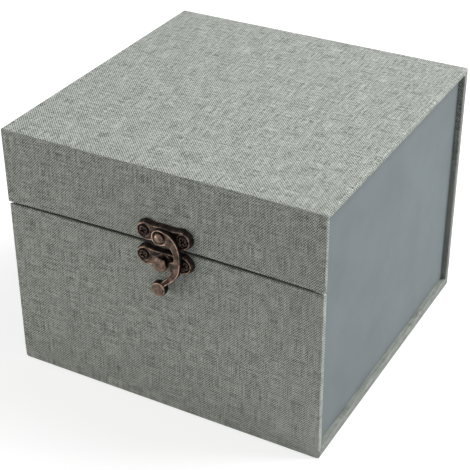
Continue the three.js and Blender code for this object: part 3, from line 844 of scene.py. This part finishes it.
def screw_shape(turn):
    def shape(x, y, z):
        dome = z - SCREW_TOP + SCREW_CROWN * (x * x + y * y) / SCREW_RADIUS
        head = soft_max(soft_max(disc(x, y, SCREW_RADIUS), dome, SCREW_ROUND), PLATE_FOOT - z, 0.1)
        across, up = (np.abs(a) for a in turned(x, y, turn))
        slot = np.minimum(np.maximum(across - SLOT_HALF[0], up - SLOT_HALF[1]),
                          np.maximum(up - SLOT_HALF[0], across - SLOT_HALF[1]))
        slot = soft_max(slot, SCREW_TOP - SLOT_DEPTH - z, 0.2)
        return soft_max(head, -slot, SLOT_ROUND)

    return shape


def hook_line():
    """The arm's places and half widths, as a smooth curve through its stations."""
    stations = [Vector(station) for station in HOOK_ARM]
    points = []
    for k in range(len(stations) - 1):
        p = [stations[min(max(k + i, 0), len(stations) - 1)] for i in (-1, 0, 1, 2)]
        for t in (0, 0.25, 0.5, 0.75):
            points.append(0.5 * (2 * p[1] + (p[2] - p[0]) * t + (2 * p[0] - 5 * p[1] + 4 * p[2] - p[3]) * t * t
                                 + (3 * p[1] - p[0] - 3 * p[2] + p[3]) * t ** 3))
    return points + [stations[-1]]


def hook_shape(x, y, z):
    line = hook_line()
    arm, outer = np.inf, 0
    for a, b in zip(line, line[1:]):
        run = (b - a).xy
        share = np.clip(((x - a.x) * run.x + (y - a.y) * run.y) / run.length_squared, 0, 1)
        gap_x, gap_y = x - a.x - share * run.x, y - a.y - share * run.y
        half = a.z + share * (b.z - a.z)
        away = np.hypot(gap_x, gap_y) - half
        side = (gap_x * -run.y + gap_y * run.x) / run.length + half
        outer = np.where(away < arm, side, outer)
        arm = np.minimum(arm, away)
    eye, knob = disc(x, y, EYE_RADIUS, EYE_SHIFT), disc(x, y, KNOB_RADIUS, KNOB_AT)
    outline = soft_min(arm, polygon(x, y, HOOK_TOOTH) - 0.3, 0.7)
    outline = soft_min(soft_min(outline, eye, 0.6), knob, 0.5)
    edge_wear_and_highlight = slope(-outline, 0.0, 0.3) * (1 - slope(-outline, 0.55, 1.0)) * slope(outer, 0.0, 1.0)
    top = HOOK_FACE - HOOK_RIDGE + HOOK_RIDGE * edge_wear_and_highlight - 0.1 * slope(-outline, 1.2, 2.2)
    top = top - EYE_DISH_DEPTH * slope(-disc(x, y, EYE_DISH, EYE_SHIFT), -0.1, 0.35)
    swell = slope(-knob, -0.3, 0.4)
    top = top + (KNOB_FACE - top) * swell
    back = HOOK_BACK - (HOOK_BACK - KNOB_BACK) * swell
    body = soft_max(soft_max(outline, z - top, HOOK_ROUND), back - z, 0.4)
    return soft_max(body, -disc(x, y, BORE_RADIUS), 0.1)


def rivet_shape(x, y, z):
    high = (z - RIVET_TOP + RIVET_MIDDLE) * RIVET_FLATTEN
    head = np.sqrt((x - RIVET_SHIFT[0]) ** 2 + (y - RIVET_SHIFT[1]) ** 2 + high ** 2) - RIVET_RADIUS
    head = soft_max(head, HOOK_FACE - EYE_DISH_DEPTH - z + RIVET_CLEAR, 0.2)
    shank = np.maximum(disc(x, y, BORE_RADIUS - RIVET_PLAY), np.maximum(PLATE_FOOT - z, z - HOOK_FACE))
    return np.minimum(head, shank)


def stud_shape(x, y, z):
    post = np.maximum(disc(x, y, STUD_POST), np.maximum(PLATE_FIELD + 0.2 - z, z - STUD_FOOT - 0.5))
    x, y = x - STUD_SHIFT[0], y - STUD_SHIFT[1]
    flats = [STUD_TURN + math.pi / 3 * k for k in range(6)]
    outline = np.max([x * math.cos(a) + y * math.sin(a) for a in flats], axis=0) - STUD_REACH
    outline = soft_max(outline, disc(x, y, STUD_REACH * STUD_CORNERS), 0.3)
    dome = z - STUD_TOP + STUD_CROWN * (x * x + y * y) / STUD_REACH
    head = soft_max(soft_max(outline, dome, 0.9), STUD_FOOT - z, 0.35)
    return soft_min(head, post, 0.4)


def build_clasp():
    def middle(node):
        low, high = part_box(node)
        return (low.x + high.x) / 2, (low.z + high.z) / 2

    def bounds(span, back, face):
        return (*span[0], back), (*span[1], face)

    for name, body, end_at, wider, boss_face, moved, turn in PLATES:
        place = [a + b * MM for a, b in zip(middle(name), moved)]
        screws = [middle(f"{name}_screw_{side}")[0] for side, _, _ in SCREWS]
        screw_at = (screws[1] - screws[0]) / 2 / MM + wider
        beside, under, over = (END_RADIUS + room for room in PLATE_ROOM)
        shape = plate_shape(end_at, screw_at, boss_face, (-moved[0], -moved[1]), turn)
        span = (-end_at - beside, -under), (end_at + beside, over)
        cast(name + "_cast", shape, bounds(span, 0, boss_face), place, body, name, PLATE_WEAR_SHADE)
        span = (-SCREW_RADIUS, -SCREW_RADIUS), (SCREW_RADIUS, SCREW_RADIUS)
        for side, sign, slot_turn in SCREWS:
            out = sign * screw_at * MM
            screw = (place[0] + out * math.cos(turn), place[1] + out * math.sin(turn))
            cast(f"{name}_screw_{side}_cast", screw_shape(slot_turn), bounds(span, 0, SCREW_TOP), screw, body,
                 f"{name}_screw_{side}", SCREW_WEAR_SHADE, SCREW_STEP)
    rivet, stud = middle("hook_rivet"), middle("stud")
    cast("hook_cast", hook_shape, bounds(HOOK_BOUNDS, KNOB_BACK, KNOB_FACE), rivet, "hook", "hook", HOOK_WEAR_SHADE)
    cast("hook_rivet_cast", rivet_shape, bounds(RIVET_BOUNDS, 0, RIVET_TOP), rivet, "flap", "hook_rivet",
         RIVET_WEAR_SHADE, RIVET_STEP)
    cast("stud_cast", stud_shape, bounds(STUD_BOUNDS, PLATE_FIELD, STUD_TOP), stud, "base", "stud", STUD_WEAR_SHADE)


# The pads

def plump(node, body, proud, material):
    """A soft node's own pad. Its shape, a little shrunk, swells as filled cloth, and is then kept in its solid's box,
    apart from what proud allows."""
    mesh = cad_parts[node].data.copy()
    mesh.name = node + "_cover"
    obj = bpy.data.objects.new(mesh.name, mesh)
    bpy.context.scene.collection.objects.link(obj)
    mesh.materials.clear()
    mesh.materials.append(material)
    tidy(obj)
    with_modifier(obj, "REMESH", mode="VOXEL", voxel_size=PAD_MESH)
    shrunk = [v.co - v.normal * PAD_SHRINK for v in obj.data.vertices]
    obj.data.vertices.foreach_set("co", np.array(shrunk, np.float32).ravel())
    obj.data.update()
    start = places_of(obj.data)
    blown = start
    cloth = obj.modifiers.new("filling", "CLOTH")
    cloth.settings.quality = PAD_QUALITY
    cloth.settings.use_pressure = True
    cloth.settings.uniform_pressure_force = PAD_PRESSURE
    cloth.settings.effector_weights.gravity = 0
    cloth.point_cache.frame_start, cloth.point_cache.frame_end = 1, PAD_FRAMES
    for number in range(1, PAD_FRAMES + 1):
        bpy.context.scene.frame_set(number)
    graph = bpy.context.evaluated_depsgraph_get()
    blown = places_of(obj.evaluated_get(graph).data)
    obj.modifiers.clear()
    bpy.context.scene.frame_set(1)
    move = blown - start
    far = np.linalg.norm(move, axis=1, keepdims=True)
    capped = start + move * np.minimum(1, PAD_CAP / np.maximum(far, TINY))
    low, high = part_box(node)
    placed = held(capped, np.array(low), np.array(high), proud)
    obj.data.vertices.foreach_set("co", placed.astype(np.float32).ravel())
    obj.data.update()
    with_modifier(obj, "SUBSURF", levels=1, render_levels=1)
    obj.data.polygons.foreach_set("use_smooth", [True] * len(obj.data.polygons))
    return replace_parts(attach(obj, body), node)


def places_of(mesh):
    places = np.zeros(3 * len(mesh.vertices), np.float32)
    mesh.vertices.foreach_get("co", places)
    return places.reshape(-1, 3).astype(float)


def held(places, low, high, proud):
    """Keeps places in a box. They may stand proud of its low sides and of its high sides by as much as proud says."""
    over = np.maximum(places - high, 0)
    under = np.maximum(low - places, 0)
    proud = np.maximum(proud, TINY)
    return np.clip(places, low, high) + proud[1] * np.tanh(over / proud[1]) - proud[0] * np.tanh(under / proud[0])


def build_pads():
    up = (0, 0, PAD_PROUD)
    plump("foam_nest", "base", ((0, 0, 0), up), NEST_PLUSH)
    plump("foam_floor_pad", "base", ((0, 0, 0), (0, 0, 0)), PLUSH)
    plump("lid_pad", "lid", ((PAD_PROUD, PAD_PROUD, PAD_PROUD), (PAD_PROUD, PAD_PROUD, 0)), PLUSH)


def dress(names, material):
    """Gives CAD nodes their finish."""
    for name in names:
        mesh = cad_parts[name].data
        mesh.materials.clear()
        mesh.materials.append(material)


# The stage

def build_camera():
    azimuth, elevation, roll = (math.radians(x) for x in (AZIMUTH, ELEVATION, ROLL))
    away = Vector((math.sin(azimuth) * math.cos(elevation), -math.cos(azimuth) * math.cos(elevation),
                   math.sin(elevation)))
    level = (-away).cross(Vector((0, 0, 1))).normalized()
    upward = level.cross(-away)
    right = level * math.cos(roll) + upward * math.sin(roll)
    up = upward * math.cos(roll) - level * math.sin(roll)
    data = bpy.data.cameras.new("camera")
    data.sensor_width = SENSOR_WIDTH
    data.lens = FOCAL_SHARE * SENSOR_WIDTH
    data.clip_start = CLIP_START
    camera = bpy.data.objects.new("camera", data)
    middle = Vector((0, 0, TOP / 2))
    camera.matrix_world = Matrix((right, up, away)).transposed().to_4x4()
    camera.location = middle + away * DISTANCE + right * MOVED_RIGHT + up * MOVED_UP
    bpy.context.scene.collection.objects.link(camera)
    bpy.context.scene.camera = camera


def build_floor():
    s = Shader("floor")
    path = s.node("ShaderNodeLightPath").outputs
    shown = s.math("MAXIMUM", path["Is Camera Ray"],
                   s.math("MAXIMUM", path["Is Glossy Ray"], path["Is Transmission Ray"]))
    cloud = s.spread(s.noise(s.object_place(), FLOOR_CLOUD), 0.3, 0.7, 0.0, 1.0)
    diffuse = s.node("ShaderNodeBsdfDiffuse", {"Color": s.mix(cloud, FLOOR_DARK, FLOOR_LIGHT)})
    glow = s.node("ShaderNodeEmission", {"Color": (1, 1, 1, 1), "Strength": s.times(shown, FLOOR_GLOW)})
    both = s.node("ShaderNodeAddShader", {0: diffuse.outputs[0], 1: glow.outputs[0]})
    s.put(s.tree.nodes["Material Output"].inputs["Surface"], both.outputs[0])
    half = FLOOR_HALF
    floor = mesh_piece("floor", [(-half, -half, 0), (half, -half, 0), (half, half, 0), (-half, half, 0)],
                       [(0, 1, 2, 3)], s.material)
    floor.location.z = -FLOOR_DROP


def build_lights():
    world = bpy.data.worlds.new("world")
    bpy.context.scene.world = world
    world.use_nodes = True
    tree = world.node_tree
    path = tree.nodes.new("ShaderNodeLightPath")
    shown = tree.nodes.new("ShaderNodeMath")
    shown.operation = "MAXIMUM"
    strength = tree.nodes.new("ShaderNodeMapRange")
    strength.inputs["To Min"].default_value = WORLD_LIGHT
    strength.inputs["To Max"].default_value = 1.0
    background = tree.nodes["Background"]
    background.inputs["Color"].default_value = (1, 1, 1, 1)
    for output, socket in ((path.outputs["Is Camera Ray"], shown.inputs[0]),
                           (path.outputs["Is Glossy Ray"], shown.inputs[1]),
                           (shown.outputs[0], strength.inputs["Value"]),
                           (strength.outputs["Result"], background.inputs["Strength"])):
        tree.links.new(output, socket)
    for name, place, power, size, colour in LAMPS:
        lamp = bpy.data.lights.new(name, "AREA")
        lamp.energy = power
        lamp.size = size
        lamp.color = colour
        obj = bpy.data.objects.new(name, lamp)
        obj.location = place
        obj.rotation_euler = (Vector(place) - Vector((0, 0, TOP / 2))).to_track_quat("Z", "Y").to_euler()
        bpy.context.scene.collection.objects.link(obj)


bpy.context.scene.view_settings.view_transform = "Standard"
build_wrap()
dress(["lid_board", "back_board", "bottom_board", "tray_left_wall", "tray_right_wall", "tray_front_wall",
       "tray_back_wall", "tray_floor"], BOARD)
dress(["tray_paper", "tray_lining", "lid_lining", "flap_lining"], PAPER)
build_pads()
build_clasp()
build_camera()
build_floor()
build_lights()
